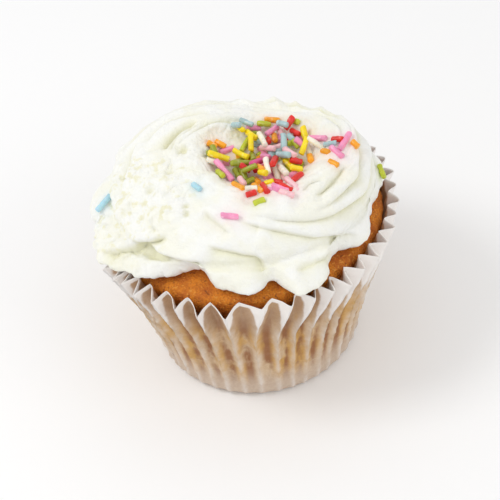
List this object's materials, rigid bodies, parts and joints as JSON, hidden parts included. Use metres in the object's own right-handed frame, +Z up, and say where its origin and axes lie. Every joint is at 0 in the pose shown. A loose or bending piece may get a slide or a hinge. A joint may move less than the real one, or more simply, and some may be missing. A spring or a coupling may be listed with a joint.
{
  "type": "frosted cupcake",
  "caption": "Cupcake of golden sponge in a pleated paper case, topped with a lobed off-white frosting swirl whose middle dips to hold a heap of sugar strands.",
  "frame": {"origin": "centre of the flat underside of the paper case", "axes": "+Z up along the case's axis; -Y faces the side where most of the sponge shows; +X to its right"},
  "size_m": [0.0772, 0.0747, 0.0596],
  "materials": {
    "greased_paper": "thin white baking paper, clean at the rim and stained tan by butter lower down, matte",
    "baked_crust": "golden brown sponge crust, fine pored, dull with a slight sheen of fat",
    "buttercream": "off-white whipped frosting, soft satin, slightly translucent",
    "sugar_strands": "coloured sugar strands, smooth, satin; each colour is its own piece in the visual model"
  },
  "bodies": {
    "root": {"paper_case": "greased_paper", "sponge": "baked_crust", "frosting": "buttercream", "strand_heap": "sugar_strands"}
  },
  "joints": []
}
